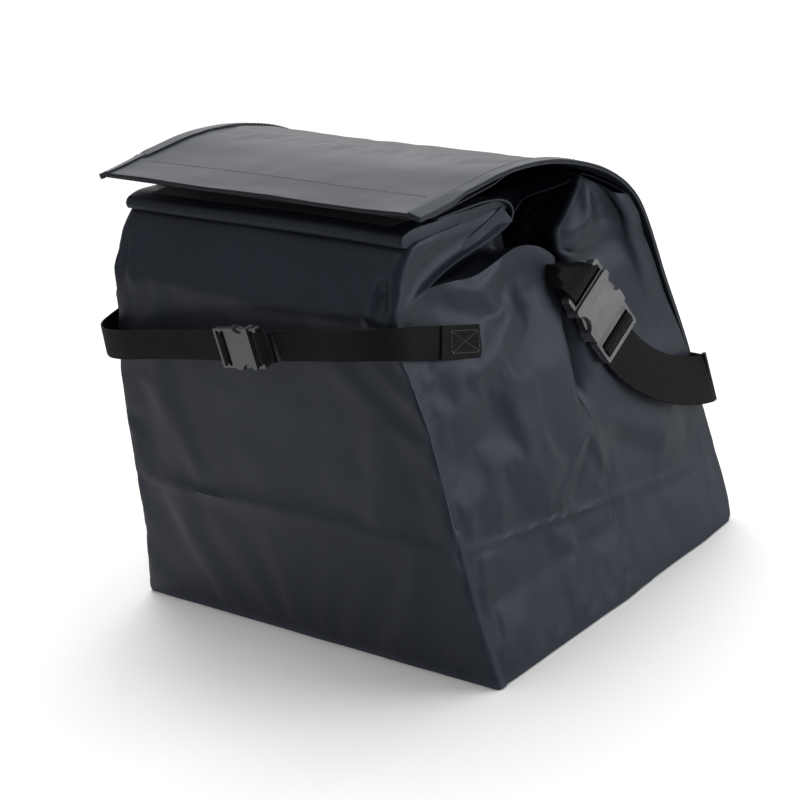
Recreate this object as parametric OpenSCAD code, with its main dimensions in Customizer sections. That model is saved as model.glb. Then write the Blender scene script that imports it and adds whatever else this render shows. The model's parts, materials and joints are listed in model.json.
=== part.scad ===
// Front-carrier pannier bag: a soft tarpaulin box with a rolled collar, a lid sheet that folds
// over it from the front, one strap round the front with a side-release buckle at each side,
// and a short strap at the back that fixes the bag to the carrier's hoop.
// The origin is the centre of the underside. +X is the bag's right, -Y the rider's side,
// +Z is up. Millimetres.

/* [Bag] */
// Width of the base, side to side
base_w = 390; // [370:5:410]
// Depth of the base, rider's side to front
base_d = 305; // [295:1:315]
// Height of the lid's upper face
lid_z = 373; // [369:1:377]
// Width of the lid sheet
lid_w = 345; // [320:5:350]
// Thickness of a tarpaulin sheet
sheet_t = 2; // [1.5:0.1:2]

/* [Boards] */
// Thickness of the base and back boards
board_t = 3; // [2:0.5:4]
// Thickness of the strips in the lid and the collar
slat_t = 1.6; // [1.2:0.1:1.6]

/* [Straps] */
// Width of the front strap's webbing
webbing_w = 40; // [36:1:40]
// Thickness of all webbing
webbing_t = 1.8; // [1.4:0.1:2]
// Width of the hoop strap's webbing
hoop_webbing_w = 25; // [22:1:26]
// Diameter of the carrier tube that the hoop strap closes round
hoop_tube_d = 16; // [14:1:18]

/* [Buckles] */
// Size of the hoop strap's buckle compared with the front strap's
small_scale = 0.69; // [0.66:0.01:0.72]
// Thickness of the front strap's buckles
buckle_t = 12; // [11:0.5:13]

/* [Hidden] */
$fn = 48;

seam = 0.5;                    // gap between two sheets that are sewn together
half_w = base_w / 2;
half_d = base_d / 2;
half_lid = lid_w / 2;

// Half the bag's width at a few heights: the sides lean in, more so above the strap.
crease_z = 115;
waist_z = 211;
shoulder_z = 268;
mouth_z = 298;                 // where the rear panel leans forwards to meet the collar
gable_z = 316;                 // top of the gusset, under the collar's front end
crease_x = half_w - 18;
waist_x = half_w - 27;
shoulder_x = half_w - 43;
mouth_x = half_w - 46;

// The lid's line, seen from the side: flat over the top, round over the front crest and
// down the front to its sewn end under the front strap.
lid_rear_y = -127;
lid_bend_y = -50;
crest_reach = [25, 108];       // y of the crest curve's two control points
crest_low = [124, lid_z - 88]; // where the crest runs out into the straight front
apron_knee = [157.5, 150];      // top of the front strap
apron_end = [158, 112];
crest_ctrl_z = lid_z - 38;
hinge_t = 0.8;                 // share of the crest curve that lies behind the fold
hinge_gap_t = 0.008;           // share of the curve left open on each side of the fold
lid_mid_z = lid_z - sheet_t / 2;

// Collar roll, seen from the side: a flat stadium, slightly higher at the rear.
roll_mid = [-57, 334];
roll_len = 122;
roll_t = 24;
roll_tilt = -3;
roll_half = mouth_x + 1;
slat_w = 30;
slat_fit = 1;                  // play round a strip in its pocket
tape_w = 20;
tape_t = 1.4;
tape_y = -104;
tape_half = roll_half - 20;

// Front strap: each side lies in a plane that leans in with the gusset.
side_at = [half_w - 20, 51, 229];   // middle of the side buckle
side_lean = 8;
buckle_turn = 114;                  // direction from plug to socket, from +Y towards up
buckle_shift = 11;                  // mouth of the socket below the buckle's middle
front_strap_y = half_d + 10;
front_strap_z = 127;
strap_corner_x = half_w - 5;

// Hoop strap: it slopes down to the bag's left, as it is pulled round the carrier.
hoop_strap_y = -half_d - hoop_tube_d - 2.2;
hoop_strap_z = 266;
hoop_slope = 8;
hoop_corner_x = half_w - 26;
hoop_tube_x = 118;
hoop_buckle_x = 2;
sewn_y = -75;
corner_rise_r = 37;             // right corner of the strap above its sewn end
corner_drop_l = 11;             // left corner of the strap below its sewn end
strap_start_r = 31;             // webbing starts this far from the buckle's mouth
strap_start_l = 24;

// Side-release buckle, drawn for the front strap's webbing. The socket's mouth is at x = 0,
// the socket lies at +x and the plug at -x; y is across the strap and z out of the bag.
socket_len = 34;
socket_w = 49;
socket_wall = 3;
loop_len = 12;
loop_t = 8;
cavity_len = 28;
cavity_t = 7.2;
cavity_w = socket_w - 2 * socket_wall;
notch_r = 9;
notch_x = 19.5;
notch_y = 27;
slot_w = webbing_w + 1.4;
slot_len = 5;
plug_len = 24;
plug_w = 47;
plug_t = 7;
plug_gap = 0.9;                // from the plug's shoulder to the socket's mouth
bar_len = 3.4;
tongue_len = 24;
tongue_w = 4.4;
prong_t = 6.4;
prong_pivot = [1.6, 15.4];
prong_r = 2.1;

// ---------- helpers ----------

function unit(v) = v / norm(v);
function left_of(v) = [-v[1], v[0]];
function turned(p, a) = [p[0] * cos(a) - p[1] * sin(a), p[0] * sin(a) + p[1] * cos(a)];
function leg_in(p, i) = unit(i > 0 ? p[i] - p[i - 1] : p[1] - p[0]);
function leg_out(p, i) = unit(i < len(p) - 1 ? p[i + 1] - p[i] : p[i] - p[i - 1]);
function miter(p, i) =
    let (m = unit(left_of(leg_in(p, i)) + left_of(leg_out(p, i))))
    m / (m * left_of(leg_in(p, i)));
// Outline of a band of thickness t whose left side follows the line p at distance a.
function band(p, a, t) = concat(
    [for (i = [0:len(p) - 1]) p[i] + miter(p, i) * a],
    [for (i = [len(p) - 1:-1:0]) p[i] + miter(p, i) * (a - t)]);
function bezier(a, b, c, d, t) =
    a * pow(1 - t, 3) + b * 3 * t * pow(1 - t, 2) + c * 3 * t * t * (1 - t) + d * t * t * t;
function curve(a, b, c, d, from, to, steps) =
    [for (i = [0:steps]) bezier(a, b, c, d, from + (to - from) * i / steps)];

// Extrudes an outline drawn in Y and Z along X.
module along_x(x0, x1) {
    rotate([90, 0, 90]) translate([0, 0, x0]) linear_extrude(x1 - x0) children();
}

// Extrudes an outline drawn in X and Z along Y.
module along_y(y0, y1) {
    rotate([90, 0, 0]) translate([0, 0, -y1]) linear_extrude(y1 - y0) children();
}

module round_rect(x0, x1, y0, y1, r) {
    translate([x0 + r, y0]) square([x1 - x0 - 2 * r, y1 - y0]);
    translate([x0, y0 + r]) square([x1 - x0, y1 - y0 - 2 * r]);
    for (x = [x0 + r, x1 - r], y = [y0 + r, y1 - r]) translate([x, y]) circle(r);
}

module stadium(length, t) {
    square([length - t, t], center = true);
    for (s = [-1, 1]) translate([s * (length - t) / 2, 0]) circle(t / 2);
}

// ---------- outlines ----------

// Half the bag from the front, from the base to the collar.
side_line = [[half_w, 0], [crease_x, crease_z], [waist_x, waist_z], [shoulder_x, shoulder_z],
             [mouth_x, mouth_z]];
front_outline = concat(side_line, [for (i = [len(side_line) - 1:-1:0])
    [-side_line[i][0], side_line[i][1]]]);

// The front panel's line from the base up to the collar, just inside the apron.
front_clear = 4;
front_line = [[half_d, 0], [half_d + 0.5, apron_knee[1]], [crest_low[0] - front_clear, crest_low[1]],
              [crest_low[0] - 14, crest_low[1] + 14], [8, 321]];
// The rear panel's line: upright, then leaning forwards up to the collar's rear edge.
rear_line = [[-half_d, 0], [-half_d, mouth_z - 8], [-125, 340]];

bend = [lid_bend_y, lid_mid_z];
bend_ctrl = [crest_reach[0], lid_mid_z];
crest_ctrl = [crest_reach[1], crest_ctrl_z];
lid_line = concat([[lid_rear_y, lid_mid_z]],
    curve(bend, bend_ctrl, crest_ctrl, crest_low, 0, hinge_t - hinge_gap_t, 12));
apron_line = concat(
    curve(bend, bend_ctrl, crest_ctrl, crest_low, hinge_t + hinge_gap_t, 1, 4),
    [apron_knee, apron_end]);

// ---------- tarpaulin panels ----------

module base_panel() {
    color("#23262c")
    translate([-half_w + sheet_t + seam, -half_d + sheet_t + seam, 0])
        cube([base_w - 2 * (sheet_t + seam), base_d - 2 * (sheet_t + seam), sheet_t]);
}

module rear_panel() {
    color("#1b1e24") {
        along_y(-half_d, -half_d + sheet_t) intersection() {
            polygon(front_outline);
            translate([-half_w, 0]) square([base_w, mouth_z - 8]);
        }
        along_x(-mouth_x, mouth_x) polygon(band(rear_line, 0, sheet_t));
    }
}

module front_panel() {
    color("#23262c") intersection() {
        along_x(-half_w, half_w) polygon(band(front_line, sheet_t, sheet_t));
        along_y(-half_d, half_d + 10)
            polygon(concat([for (p = side_line) p], [[mouth_x, 340], [-mouth_x, 340]],
                [for (i = [len(side_line) - 1:-1:0]) [-side_line[i][0], side_line[i][1]]]));
    }
}

// The space between the front and rear panels, seen from the side.
module gusset_reach() {
    polygon([[-half_d + sheet_t + seam, 0],
             for (i = [0:2]) front_line[i] - [sheet_t + seam + i * 0.3, 0],
             [40, mouth_z], [-14, gable_z], [-half_d + sheet_t + seam + 3, mouth_z - 4],
             [-half_d + sheet_t + seam, mouth_z - 14]]);
}

module side_gusset_right() {
    color("#2b2f37") intersection() {
        along_y(-half_d, half_d + 10)
            polygon(band(concat(side_line, [[mouth_x, gable_z]]), 0, -sheet_t));
        along_x(0, half_w) gusset_reach();
    }
}

module side_gusset_left() {
    mirror([1, 0, 0]) side_gusset_right();
}

// ---------- boards inside ----------

module base_board() {
    color("#3a3a3a")
    translate([-half_w + 14, -half_d + 14, sheet_t + seam])
        cube([base_w - 28, base_d - 28, board_t]);
}

module back_board() {
    bottom = sheet_t + board_t + 4;
    color("#3a3a3a") along_y(-half_d + sheet_t + seam, -half_d + sheet_t + seam + board_t)
        polygon([[-half_w + 22, bottom], [half_w - 22, bottom],
                 [mouth_x - 14, mouth_z - 18], [-mouth_x + 14, mouth_z - 18]]);
}

// ---------- rolled collar ----------

module in_roll() {
    translate([roll_mid[0], roll_mid[1]]) rotate(roll_tilt) children();
}

module rolled_collar() {
    color("#23262c") along_x(-roll_half, roll_half) in_roll() difference() {
        stadium(roll_len, roll_t);
        square([slat_w + 2 * slat_fit, slat_t + 2 * slat_fit], center = true);
    }
}

module collar_slat() {
    color("#4a4a4a") along_x(-roll_half + 4, roll_half - 4) in_roll()
        square([slat_w, slat_t], center = true);
}

module collar_loop_tape() {
    color("#111111") along_x(-tape_half, tape_half) in_roll()
        translate([tape_y - roll_mid[0], roll_t / 2 + seam / 2 + tape_t / 2])
            square([tape_w, tape_t], center = true);
}

// ---------- lid ----------

// The lid is doubled over its flat part, with a stiff board between the two layers.
lid_pocket_t = slat_t + slat_fit;
lid_low_z = lid_z - lid_pocket_t - 2 * sheet_t;
lid_inner_end = lid_bend_y + 6;
lid_outline = concat(
    [for (i = [0:len(lid_line) - 1]) lid_line[i] + miter(lid_line, i) * sheet_t / 2],
    [for (i = [len(lid_line) - 1:-1:2]) lid_line[i] - miter(lid_line, i) * sheet_t / 2],
    [[lid_inner_end, lid_z - sheet_t], [lid_inner_end, lid_low_z], [lid_rear_y, lid_low_z]]);

module lid_flap() {
    color("#30343b") along_x(-half_lid, half_lid) difference() {
        polygon(lid_outline);
        translate([lid_rear_y + sheet_t, lid_low_z + sheet_t])
            square([lid_inner_end - lid_rear_y - 2 * sheet_t, lid_pocket_t]);
    }
}

module lid_board() {
    color("#4a4a4a")
    translate([-half_lid + 6, lid_rear_y + sheet_t + slat_fit,
               lid_z - sheet_t - slat_t - slat_fit / 2])
        cube([lid_w - 12, lid_bend_y - lid_rear_y - sheet_t, slat_t]);
}

module lid_hook_tape() {
    color("#111111")
    translate([-tape_half, tape_y - tape_w / 2,
               lid_low_z - seam / 2 - tape_t])
        cube([2 * tape_half, tape_w, tape_t]);
}

module front_apron() {
    color("#30343b") along_x(-half_lid, half_lid) polygon(band(apron_line, sheet_t / 2, sheet_t));
}

// ---------- side-release buckle ----------

module buckle_socket() {
    color("#15161a") difference() {
        union() {
            translate([0, 0, -buckle_t / 2]) linear_extrude(buckle_t)
                round_rect(0, socket_len, -socket_w / 2, socket_w / 2, 2.5);
            translate([0, 0, -loop_t / 2]) linear_extrude(loop_t)
                round_rect(socket_len - 6, socket_len + loop_len,
                           -socket_w / 2 + 0.6, socket_w / 2 - 0.6, 3);
        }
        translate([-1, -cavity_w / 2, -cavity_t / 2]) cube([cavity_len + 1, cavity_w, cavity_t]);
        for (s = [-1, 1]) {
            translate([notch_x, s * notch_y, -buckle_t]) cylinder(r = notch_r, h = 2 * buckle_t);
            translate([12.5, s * (cavity_w / 2 + 1) - 4, -cavity_t / 2]) cube([15, 8, cavity_t]);
        }
        translate([socket_len + 2, -slot_w / 2, -buckle_t]) cube([slot_len, slot_w, 2 * buckle_t]);
    }
}

module buckle_plug() {
    color("#15161a") {
        difference() {
            translate([0, 0, -plug_t / 2]) linear_extrude(plug_t)
                round_rect(-plug_len, -plug_gap, -plug_w / 2, plug_w / 2, 2);
            for (x = [-plug_len + bar_len, -plug_len + 2 * bar_len + slot_len - 0.2])
                translate([x, -slot_w / 2, -plug_t])
                    cube([slot_len - 0.2, slot_w, 2 * plug_t]);
        }
        translate([-2, -tongue_w / 2, -3]) cube([tongue_len + 2, tongue_w, 6]);
    }
}

// One of the plug's two sprung prongs, on the +y side.
module buckle_prong() {
    color("#1d1e22") translate([0, 0, -prong_t / 2]) linear_extrude(prong_t) {
        translate(prong_pivot) circle(prong_r);
        polygon([[1.6, 13.3], [12, 13.6], [22, 9.5], [25.5, 10.5], [26.6, 13.5],
                 [26.2, 18.5], [24.5, 21.5], [15.5, 24], [14, 23.8], [13.3, 22.8],
                 [13.2, 17.8], [1.6, 17.5]]);
    }
}

// Webbing looped round the socket's end bar and doubled back, going on to x = reach.
module bar_loop(width, reach) {
    bar_x = socket_len + 2 + slot_len + (loop_len - 2 - slot_len) / 2;
    bar_l = loop_len - 2 - slot_len;
    clear = 0.4;
    translate([0, width / 2, 0]) rotate([90, 0, 0]) linear_extrude(width) difference() {
        union() {
            translate([bar_x, 0])
                square([bar_l + 2 * (clear + webbing_t), loop_t + 2 * (clear + webbing_t)],
                       center = true);
            translate([bar_x + bar_l / 2, -webbing_t]) square([reach - bar_x, 2 * webbing_t]);
        }
        translate([bar_x, 0]) square([bar_l + 2 * clear, loop_t + 2 * clear], center = true);
    }
}

// Webbing threaded through the plug's ladder, from x = -reach and up over the middle bar.
module ladder_thread(width, reach) {
    over = plug_t / 2 + 0.4 + webbing_t / 2;
    slot_mid = (slot_len - 0.2) / 2;
    first = -plug_len + bar_len + slot_mid;
    second = first + bar_len + 2 * slot_mid;
    line = [[-reach, -over], [first - 0.6, -over], [first + 0.3, over], [second - 0.3, over],
            [second + 0.3, -over]];
    translate([0, width / 2, 0]) rotate([90, 0, 0]) linear_extrude(width)
        polygon(band(line, webbing_t / 2, webbing_t));
}

// ---------- front strap and its buckles ----------

// Local x is forwards, y up the leaning side and z out of the bag.
module on_right_side() {
    translate(side_at) rotate([0, -side_lean, 0]) rotate([90, 0, 90]) children();
}

module at_side_buckle() {
    on_right_side() rotate(buckle_turn) translate([-buckle_shift, 0, 0]) children();
}

strap_low = -plug_t / 2 - 0.4 - webbing_t;
thread_reach = plug_len + 6;
buckle_foot = turned([-buckle_shift - thread_reach + 1, 0], buckle_turn);
join = 0.2;
corner_local = [front_strap_y - webbing_t / 2 - side_at[1],
                (front_strap_z - side_at[2]) / cos(side_lean)];
strap_curve = curve(buckle_foot, buckle_foot + turned([-26, 0], buckle_turn),
                    corner_local + [-50, 8], corner_local, 0, 1, 10);

// The webbing from the plug's ladder down to the front corner. It is set a hair off the
// threaded end and the front run, so that the three pieces join cleanly.
module front_strap_side() {
    at_side_buckle() ladder_thread(webbing_w, thread_reach);
    on_right_side() translate([0, 0, strap_low + join]) linear_extrude(webbing_t)
        polygon(band(strap_curve, webbing_w / 2 - join, webbing_w - 2 * join));
}

module front_strap() {
    color("#17181b") {
        front_strap_side();
        mirror([1, 0, 0]) front_strap_side();
        translate([-strap_corner_x, front_strap_y - webbing_t, front_strap_z - webbing_w / 2])
            cube([2 * strap_corner_x, webbing_t, webbing_w]);
    }
}

module anchor_webbing_right() {
    color("#17181b") at_side_buckle() bar_loop(webbing_w, 60);
}

module anchor_webbing_left() {
    mirror([1, 0, 0]) anchor_webbing_right();
}

module right_buckle_socket() {
    at_side_buckle() buckle_socket();
}

module right_buckle_plug() {
    at_side_buckle() buckle_plug();
}

module right_prong_front() {
    at_side_buckle() mirror([0, 1, 0]) buckle_prong();
}

module right_prong_rear() {
    at_side_buckle() buckle_prong();
}

module left_buckle_socket() {
    mirror([1, 0, 0]) right_buckle_socket();
}

module left_buckle_plug() {
    mirror([1, 0, 0]) right_buckle_plug();
}

module left_prong_front() {
    mirror([1, 0, 0]) right_prong_front();
}

module left_prong_rear() {
    mirror([1, 0, 0]) right_prong_rear();
}

// ---------- hoop strap and its buckle ----------

// Local x is along the strap to the bag's right, y up and z out towards the rider.
module at_hoop_buckle() {
    translate([0, hoop_strap_y - 4, hoop_strap_z]) rotate([0, -hoop_slope, 0])
        translate([hoop_buckle_x, 0, 0]) rotate([90, 0, 0]) scale(small_scale) children();
}

// The strap's run across the back and round one corner to its sewn end, on the +X side.
// rise is how far the corner stands above the sewn end.
module hoop_run(start_x, slope, rise) {
    corner = [hoop_corner_x, -half_d - 4];
    line = [[start_x, hoop_strap_y], [hoop_tube_x, hoop_strap_y], corner];
    translate([0, 0, hoop_strap_z]) rotate([0, -slope, 0])
        translate([0, 0, -hoop_webbing_w / 2]) linear_extrude(hoop_webbing_w)
            polygon(band(line, webbing_t / 2, webbing_t));
    run = corner[1] - sewn_y;
    corner_z = hoop_strap_z + hoop_corner_x * tan(slope);
    translate([hoop_corner_x - webbing_t / 2, sewn_y, corner_z - rise])
        rotate([atan(rise / run), 0, 0])
            translate([0, -norm([run, rise]), -hoop_webbing_w / 2])
                cube([webbing_t, norm([run, rise]), hoop_webbing_w]);
}

module hoop_strap_right() {
    color("#17181b") {
        hoop_run(hoop_buckle_x + strap_start_r, hoop_slope, corner_rise_r);
        at_hoop_buckle() bar_loop(hoop_webbing_w / small_scale, 66);
    }
}

module hoop_strap_left() {
    color("#17181b") {
        mirror([1, 0, 0]) hoop_run(strap_start_l - hoop_buckle_x, -hoop_slope, -corner_drop_l);
        at_hoop_buckle() ladder_thread(hoop_webbing_w / small_scale, 48);
    }
}

module hoop_buckle_socket() {
    at_hoop_buckle() buckle_socket();
}

module hoop_buckle_plug() {
    at_hoop_buckle() buckle_plug();
}

module hoop_prong_upper() {
    at_hoop_buckle() buckle_prong();
}

module hoop_prong_lower() {
    at_hoop_buckle() mirror([0, 1, 0]) buckle_prong();
}

base_panel();
rear_panel();
front_panel();
side_gusset_right();
side_gusset_left();
base_board();
back_board();
rolled_collar();
collar_slat();
collar_loop_tape();
front_apron();
lid_flap();
lid_board();
lid_hook_tape();
front_strap();
anchor_webbing_right();
anchor_webbing_left();
right_buckle_socket();
right_buckle_plug();
right_prong_front();
right_prong_rear();
left_buckle_socket();
left_buckle_plug();
left_prong_front();
left_prong_rear();
hoop_strap_right();
hoop_strap_left();
hoop_buckle_socket();
hoop_buckle_plug();
hoop_prong_upper();
hoop_prong_lower();
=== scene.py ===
"""Looks of the pannier bag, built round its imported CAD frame.

Metres, +X is the bag's right, -Y the rider's side, +Z up. A cloth piece starts as a grid of
points on its middle surface; sheet() gives the grid a thickness and closes its borders.
Outlines are written in millimetres and scaled by MM.
"""

import json
import math

import bpy
import numpy as np
from mathutils import Matrix, Vector, noise


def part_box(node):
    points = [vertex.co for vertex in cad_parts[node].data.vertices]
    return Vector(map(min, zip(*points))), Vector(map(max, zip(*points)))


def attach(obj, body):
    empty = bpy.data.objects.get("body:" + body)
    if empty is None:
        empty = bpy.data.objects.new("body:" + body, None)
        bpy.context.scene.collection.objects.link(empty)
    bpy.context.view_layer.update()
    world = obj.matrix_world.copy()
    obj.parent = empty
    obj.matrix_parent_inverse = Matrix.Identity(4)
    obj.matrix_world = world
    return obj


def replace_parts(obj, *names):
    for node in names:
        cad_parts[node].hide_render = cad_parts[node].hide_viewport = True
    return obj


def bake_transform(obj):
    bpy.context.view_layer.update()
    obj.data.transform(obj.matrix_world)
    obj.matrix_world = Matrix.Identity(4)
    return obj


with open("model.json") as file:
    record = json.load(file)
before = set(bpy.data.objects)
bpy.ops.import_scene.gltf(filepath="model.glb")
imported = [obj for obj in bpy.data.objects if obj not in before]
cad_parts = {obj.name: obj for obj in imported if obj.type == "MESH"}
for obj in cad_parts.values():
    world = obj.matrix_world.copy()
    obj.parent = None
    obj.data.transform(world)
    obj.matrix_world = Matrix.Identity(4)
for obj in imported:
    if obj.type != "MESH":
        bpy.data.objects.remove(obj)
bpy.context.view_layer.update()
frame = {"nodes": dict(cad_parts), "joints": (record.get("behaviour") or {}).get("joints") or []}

MM = 0.001

# Driving sizes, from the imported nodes.
HALF_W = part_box("rear_panel")[1].x
HALF_D = -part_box("rear_panel")[0].y
HALF_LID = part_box("lid_flap")[1].x
LID_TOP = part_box("lid_flap")[1].z
LID_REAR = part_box("lid_flap")[0].y
HALF_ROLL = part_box("rolled_collar")[1].x
STRAP_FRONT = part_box("front_strap")[1].y
APRON_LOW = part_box("front_apron")[0].z

SHEET = 1.5 * MM               # one layer of tarpaulin
WEBBING = 1.7 * MM
WEBBING_W = 40 * MM
HOOP_WEBBING = 1.4 * MM
HOOP_WEBBING_W = 25 * MM
SMALL_SCALE = 0.69             # the hoop strap's buckle compared with the side buckles


# ---------- curves and grids ----------

def smooth(x, low, high):
    """0 below low, 1 above high, and a smooth step between them."""
    t = np.clip((x - low) / (high - low), 0, 1)
    return t * t * (3 - 2 * t)


def unit(v):
    return v / np.maximum(np.linalg.norm(v, axis=-1, keepdims=True), 1e-12)


def reach_of(points):
    """Distance along a polyline to each of its points."""
    steps = np.linalg.norm(np.diff(points, axis=0), axis=1)
    return np.concatenate([[0], np.cumsum(steps)])


def points_at(places, reach, values):
    """The values, given at each reach along a line, interpolated at places on it."""
    return np.stack([np.interp(places, reach, column) for column in values.T], -1)


def resample(points, count):
    """count points evenly spaced along a polyline."""
    points = np.asarray(points, float)
    reach = reach_of(points)
    return points_at(np.linspace(0, reach[-1], count), reach, points)


def through(keys, steps_of):
    """Points on a smooth curve through the keys, which are single points or whole columns.

    steps_of gives the number of steps from a key to the next, for the gap between them.
    """
    steps = np.diff(keys, axis=0)
    gaps = np.maximum(np.linalg.norm(steps, axis=-1, keepdims=True), 1e-9)
    slopes = steps / gaps
    tangents = np.concatenate([slopes[:1], slopes])
    before, after = gaps[:-1], gaps[1:]
    tangents[1:-1] = (slopes[:-1] * after + slopes[1:] * before) / (before + after)
    parts = []
    for k, gap in enumerate(gaps):
        t = np.linspace(0, 1, steps_of(gap), endpoint=False).reshape([-1] + [1] * gap.ndim)
        parts.append((2 * t**3 - 3 * t**2 + 1) * keys[k] + (t**3 - 2 * t**2 + t) * gap * tangents[k]
                     + (3 * t**2 - 2 * t**3) * keys[k + 1] + (t**3 - t**2) * gap * tangents[k + 1])
    return np.concatenate(parts + [keys[-1:]])


def curve(points, count):
    """count evenly spaced points on a smooth curve through the given points."""
    return resample(through(np.asarray(points, float), lambda gap: 16), count)


def table(points):
    """A function that interpolates between (place, value) pairs, both in millimetres."""
    places, values = np.array(points, float).T
    return lambda x: np.interp(x, places, values)


def loft(columns, spacing):
    """A grid that runs smoothly across the given key columns, each rows x 3, and holds them all."""
    across = through(np.stack(columns), lambda gap: max(3, round(gap.mean() / spacing)))
    return across.transpose(1, 0, 2).copy()


def normals(grid):
    return unit(np.cross(np.gradient(grid, axis=1), np.gradient(grid, axis=0)))


def mirrored(grid):
    """The same sheet on the bag's left, with its outer side still outwards."""
    return (grid * [-1, 1, 1])[:, ::-1]


def relief(grid, height, size, seed):
    """Soft unevenness of the cloth: moves each point along the sheet's normal."""
    offset = Vector((seed * 7.3, seed * 3.1, seed * 5.7))
    dimension, lacunarity, octaves = 0.9, 2.0, 3
    amount = np.array([[noise.fractal(Vector(p) / size + offset, dimension, lacunarity, octaves)
                        for p in row] for row in grid])
    return grid + normals(grid) * (amount * height)[..., None]


def crease(y, z, start, end, width, height):
    """Height at (y, z) of a ridge, or a valley if negative, that tapers at start and end."""
    a, b = np.array(start, float), np.array(end, float)
    d = b - a
    t = ((y - a[0]) * d[0] + (z - a[1]) * d[1]) / (d @ d)
    nearest = np.clip(t, 0, 1)
    away = np.hypot(y - a[0] - nearest * d[0], z - a[1] - nearest * d[1])
    return height * np.exp(-((away / width) ** 2)) * smooth(t, -0.15, 0.3) * smooth(-t, -1.15, -0.7)


# ---------- meshes ----------

def new_object(name, points, faces):
    mesh = bpy.data.meshes.new(name)
    mesh.from_pydata([tuple(p) for p in points], [], faces)
    mesh.update()
    piece = bpy.data.objects.new(name, mesh)
    bpy.context.scene.collection.objects.link(piece)
    return piece


def grid_faces(rows, cols):
    index = np.arange(rows * cols).reshape(rows, cols)
    corners = [index[:-1, :-1], index[:-1, 1:], index[1:, 1:], index[1:, :-1]]
    return np.stack([c.ravel() for c in corners], 1)


def border(rows, cols):
    """The grid's border points in order, the way round that the outer faces run."""
    index = np.arange(rows * cols).reshape(rows, cols)
    return np.concatenate([index[0, :-1], index[:-1, -1], index[-1, :0:-1], index[:0:-1, 0]])


def grid_uv(grid):
    """Distances along and across the sheet, in metres, so that a weave keeps its scale."""
    across = np.linalg.norm(np.diff(grid, axis=1), axis=2)
    along = np.linalg.norm(np.diff(grid, axis=0), axis=2)
    u = np.concatenate([np.zeros((grid.shape[0], 1)), np.cumsum(across, 1)], 1)
    v = np.concatenate([np.zeros((1, grid.shape[1])), np.cumsum(along, 0)], 0)
    return np.stack([u, v], 2).reshape(-1, 2)


def set_uv(piece, per_point):
    layer = piece.data.uv_layers.new(name="cloth")
    loops = np.zeros(len(piece.data.loops), np.int32)
    piece.data.loops.foreach_get("vertex_index", loops)
    layer.data.foreach_set("uv", per_point[loops].astype(np.float32).ravel())


def shade(piece, angle=38):
    piece.data.polygons.foreach_set("use_smooth", [True] * len(piece.data.polygons))
    piece.data.set_sharp_from_angle(angle=math.radians(angle))


def bevel(piece, width, segments=2):
    edge = piece.modifiers.new("edge", "BEVEL")
    edge.width = width
    edge.segments = segments
    edge.limit_method = "ANGLE"
    edge.angle_limit = math.radians(50)


def finish_piece(piece, material, body):
    piece.data.materials.append(material)
    if body:
        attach(piece, body)
    return piece


def sheet(name, grid, thickness, material, body="bag", edge=0.35 * MM):
    """A closed cloth solid from a grid of points on its middle surface."""
    rows, cols = grid.shape[:2]
    half = normals(grid) * (thickness / 2)
    points = np.concatenate([(grid + half).reshape(-1, 3), (grid - half).reshape(-1, 3)])
    count = rows * cols
    outer = grid_faces(rows, cols)
    ring = border(rows, cols)
    after = np.roll(ring, -1)
    sides = np.stack([after, ring, ring + count, after + count], 1)
    faces = np.concatenate([outer, outer[:, ::-1] + count, sides]).tolist()
    piece = new_object(name, points, faces)
    uv = grid_uv(grid)
    set_uv(piece, np.concatenate([uv, uv]))
    shade(piece)
    bevel(piece, edge)
    return finish_piece(piece, material, body)


def ribbon(path, across, width, columns=7):
    """A grid for flat webbing along a path; across holds its width direction at each point."""
    offsets = np.linspace(-0.5, 0.5, columns) * width
    return path[:, None, :] + across[:, None, :] * offsets[None, :, None]


def ring_faces(count, size):
    """Faces of a solid through count rings of size points each, capped at both ends."""
    index = np.arange(count * size).reshape(count, size)
    after = np.roll(index, -1, axis=1)
    sides = np.stack([index[:-1], after[:-1], after[1:], index[1:]], 2).reshape(-1, 4)
    return sides.tolist() + [index[0, ::-1].tolist(), index[-1].tolist()]


def tube(name, rings, material):
    """A closed solid through rings of points."""
    piece = new_object(name, rings.reshape(-1, 3), ring_faces(*rings.shape[:2]))
    around = np.linalg.norm(rings - np.roll(rings, 1, axis=1), axis=2).cumsum(1)
    along = np.broadcast_to(rings[:, :1, 0], rings.shape[:2])
    set_uv(piece, np.stack([around, along], 2).reshape(-1, 2))
    shade(piece)
    return finish_piece(piece, material, "bag")


def stitches(name, runs, material, body, length=3.0 * MM, gap=1.4 * MM, radius=0.32 * MM):
    """Rows of thread. A run is (points, normals); each stitch is a small closed lozenge."""
    profile = [(0, 0.45), (0.25, 1.0), (0.75, 1.0), (1, 0.45)]
    corners = 6
    lozenge = ring_faces(len(profile), corners)
    points, faces = [], []
    for path, up in runs:
        reach = reach_of(path)
        for start in np.arange(gap / 2, reach[-1] - length, length + gap):
            a, b = points_at([start, start + length], reach, path)
            n = unit(points_at(start, reach, up))
            side = np.cross(n, unit(b - a))
            faces += [[len(points) + k for k in face] for face in lozenge]
            for at, r in profile:
                for t in np.arange(corners) * math.tau / corners:
                    out = side * math.cos(t) + n * math.sin(t)
                    points.append(a + (b - a) * at + out * radius * r)
    piece = new_object(name, points, faces)
    shade(piece, 60)
    return finish_piece(piece, material, body)


CLOTH_SETTINGS = {"quality": 6, "mass": 0.25, "tension_stiffness": 25, "compression_stiffness": 25,
                  "shear_stiffness": 12, "bending_stiffness": 1.5, "tension_damping": 15,
                  "compression_damping": 15, "shear_damping": 15, "vertex_group_mass": "hold"}
SETTLING_FRAMES = 18


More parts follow.
